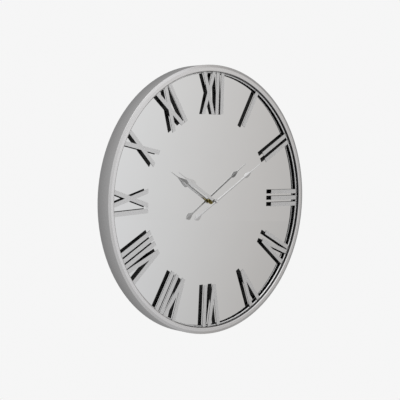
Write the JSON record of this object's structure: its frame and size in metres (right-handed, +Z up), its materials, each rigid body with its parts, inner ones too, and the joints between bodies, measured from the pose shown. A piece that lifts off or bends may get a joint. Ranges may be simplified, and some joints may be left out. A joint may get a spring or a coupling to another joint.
{
  "type": "mirror clock",
  "caption": "Round wall clock with a mirror dial in a silver metal hoop frame, raised Roman numerals, spade hands, a geared quartz movement and a keyhole hanger.",
  "frame": {"origin": "seat of the wall screw in the hanger's keyhole, on the wall plane at the back of the frame", "axes": "+Z up, +Y into the wall, so the dial faces -Y; +X to the right as the dial is read"},
  "size_m": [0.5999, 0.048, 0.6],
  "materials": {
    "frame_silver": "satin silver paint",
    "numeral_silver": "satin silver paint in front, black behind",
    "hand_silver": "satin silver",
    "spacer_black": "black",
    "mirror": "polished mirror",
    "board": "smooth hardboard",
    "steel": "zinc plated",
    "black_plastic": "moulded, fine texture",
    "natural_plastic": "moulded, natural",
    "brass": "turned",
    "rubber": "matt",
    "circuit_green": "solder mask",
    "chip_black": "moulded",
    "copper_wire": "enamelled copper wire",
    "battery_wrap": "plain wrap, no print"
  },
  "bodies": {
    "clock_body": {"frame_hoop": "frame_silver", "numeral_ring": "numeral_silver", "numeral_1": "numeral_silver", "numeral_2": "numeral_silver", "numeral_3": "numeral_silver", "numeral_4": "numeral_silver", "numeral_5": "numeral_silver", "numeral_6": "numeral_silver", "numeral_7": "numeral_silver", "numeral_8": "numeral_silver", "numeral_9": "numeral_silver", "numeral_10": "numeral_silver", "numeral_11": "numeral_silver", "numeral_12": "numeral_silver", "front_spacer": "spacer_black", "rear_spacer": "spacer_black", "mirror_glass": "mirror", "backing_board": "board", "board_tabs": "steel", "hanger_bracket": "steel", "hanger_screws": "steel", "coil_core": "steel", "stator": "steel", "positive_contact": "steel", "negative_contact": "steel", "quartz_crystal": "steel", "movement_case": "black_plastic", "movement_cover": "black_plastic", "middle_plate": "natural_plastic", "coil_bobbin": "natural_plastic", "threaded_bushing": "brass", "brass_washer": "brass", "hex_nut": "brass", "movement_gasket": "rubber", "circuit_board": "circuit_green", "clock_chip": "chip_black", "coil_winding": "copper_wire", "battery": "battery_wrap"},
    "minute_group": {"minute_arbor": "brass", "minute_hand": "hand_silver", "minute_collet": "brass", "cap_nut": "steel"},
    "hour_group": {"hour_wheel": "brass", "hour_hand": "hand_silver", "hour_collet": "brass"},
    "motion_group": {"motion_wheel": "natural_plastic", "set_knob": "black_plastic"},
    "seconds_group": {"seconds_wheel": "natural_plastic"},
    "third_group": {"third_wheel": "natural_plastic"},
    "centre_group": {"centre_wheel": "natural_plastic", "clutch_spring": "steel"},
    "intermediate_group": {"intermediate_wheel": "natural_plastic"},
    "rotor_group": {"rotor": "steel"}
  },
  "joints": [
    {"name": "minute_hand_spin", "type": "hinge", "parent": "clock_body", "child": "minute_group", "pos_m": [0, -0.037, -0.278], "axis": [0, 1, 0], "continuous": true},
    {"name": "hour_hand_spin", "type": "hinge", "parent": "clock_body", "child": "hour_group", "pos_m": [0, -0.037, -0.278], "axis": [0, 1, 0], "continuous": true},
    {"name": "motion_wheel_spin", "type": "hinge", "parent": "clock_body", "child": "motion_group", "pos_m": [-0.01038, -0.037, -0.27201], "axis": [0, 1, 0], "continuous": true},
    {"name": "seconds_wheel_spin", "type": "hinge", "parent": "clock_body", "child": "seconds_group", "pos_m": [0, -0.037, -0.278], "axis": [0, 1, 0], "continuous": true},
    {"name": "third_wheel_spin", "type": "hinge", "parent": "clock_body", "child": "third_group", "pos_m": [0.0055, -0.037, -0.26847], "axis": [0, 1, 0], "continuous": true},
    {"name": "centre_wheel_spin", "type": "hinge", "parent": "clock_body", "child": "centre_group", "pos_m": [0, -0.037, -0.278], "axis": [0, 1, 0], "continuous": true},
    {"name": "intermediate_wheel_spin", "type": "hinge", "parent": "clock_body", "child": "intermediate_group", "pos_m": [0.00822, -0.037, -0.28099], "axis": [0, 1, 0], "continuous": true},
    {"name": "rotor_spin", "type": "hinge", "parent": "clock_body", "child": "rotor_group", "pos_m": [0.01472, -0.037, -0.27724], "axis": [0, 1, 0], "continuous": true}
  ],
  "couplings": [
    {"joint": "hour_hand_spin", "follows": "minute_hand_spin", "ratio": 0.083333},
    {"joint": "motion_wheel_spin", "follows": "minute_hand_spin", "ratio": -0.33333},
    {"joint": "third_wheel_spin", "follows": "seconds_wheel_spin", "ratio": -0.13333},
    {"joint": "centre_wheel_spin", "follows": "seconds_wheel_spin", "ratio": 0.016667},
    {"joint": "intermediate_wheel_spin", "follows": "seconds_wheel_spin", "ratio": -6},
    {"joint": "rotor_spin", "follows": "seconds_wheel_spin", "ratio": 30}
  ]
}
